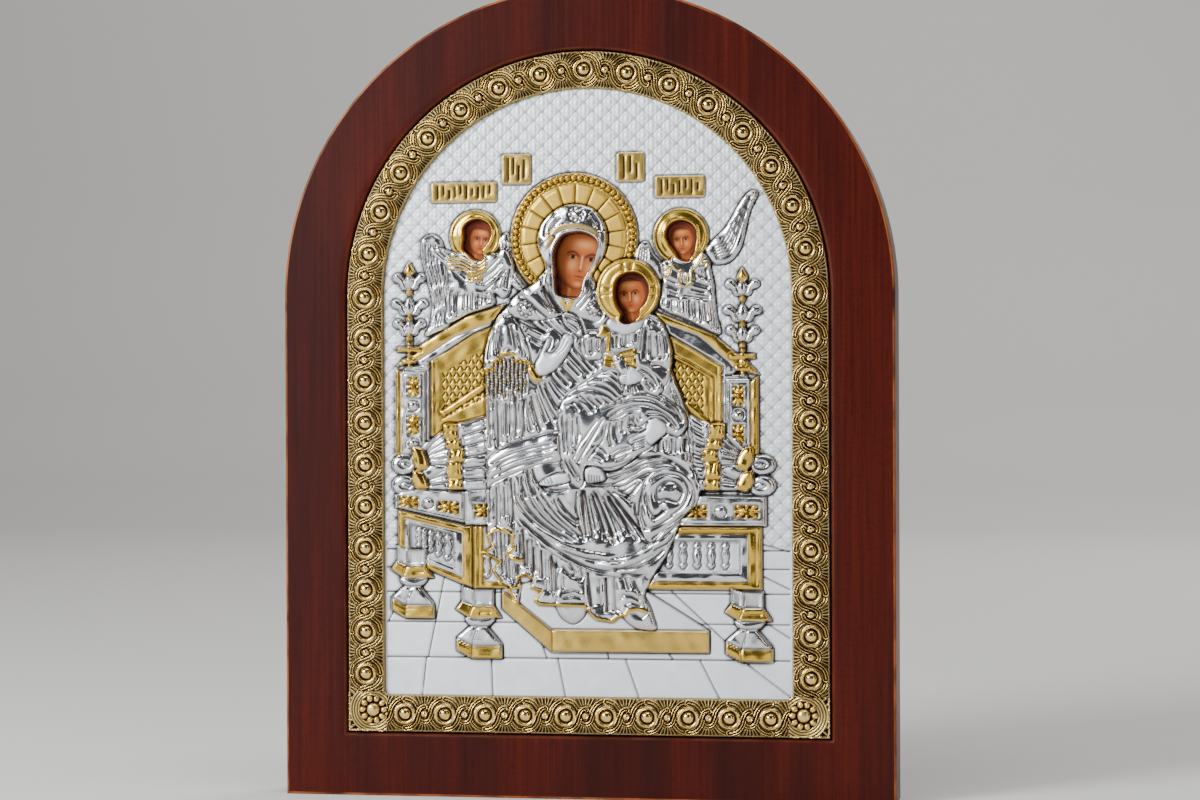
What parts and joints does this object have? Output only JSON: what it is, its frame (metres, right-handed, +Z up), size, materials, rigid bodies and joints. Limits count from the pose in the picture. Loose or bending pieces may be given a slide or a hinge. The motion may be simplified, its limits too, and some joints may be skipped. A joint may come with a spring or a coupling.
{
  "type": "icon panel",
  "caption": "Arched wooden icon panel with an embossed silver and gilt metal cover let into its face, over a painted print that shows through the openings for the heads",
  "frame": {"origin": "the middle of the panel's underside, halfway between the back and the frontmost bosses", "axes": "+X to the viewer's right, the picture faces -Y, the plain back faces +Y, +Z up"},
  "size_m": [0.2, 0.022, 0.263],
  "materials": {
    "mahogany_veneer": "dark red mahogany veneer under a satin lacquer",
    "silver_plate": "polished and matt silver plate with dark patina in the recesses",
    "gilding": "antique gilding, bright on the raised parts and brown in the recesses",
    "icon_print": "matt printed painting in warm flesh and brown tones"
  },
  "bodies": {
    "root": {"arched_board": "mahogany_veneer", "embossed_cover": "silver_plate", "painted_print": "icon_print"}
  },
  "joints": []
}
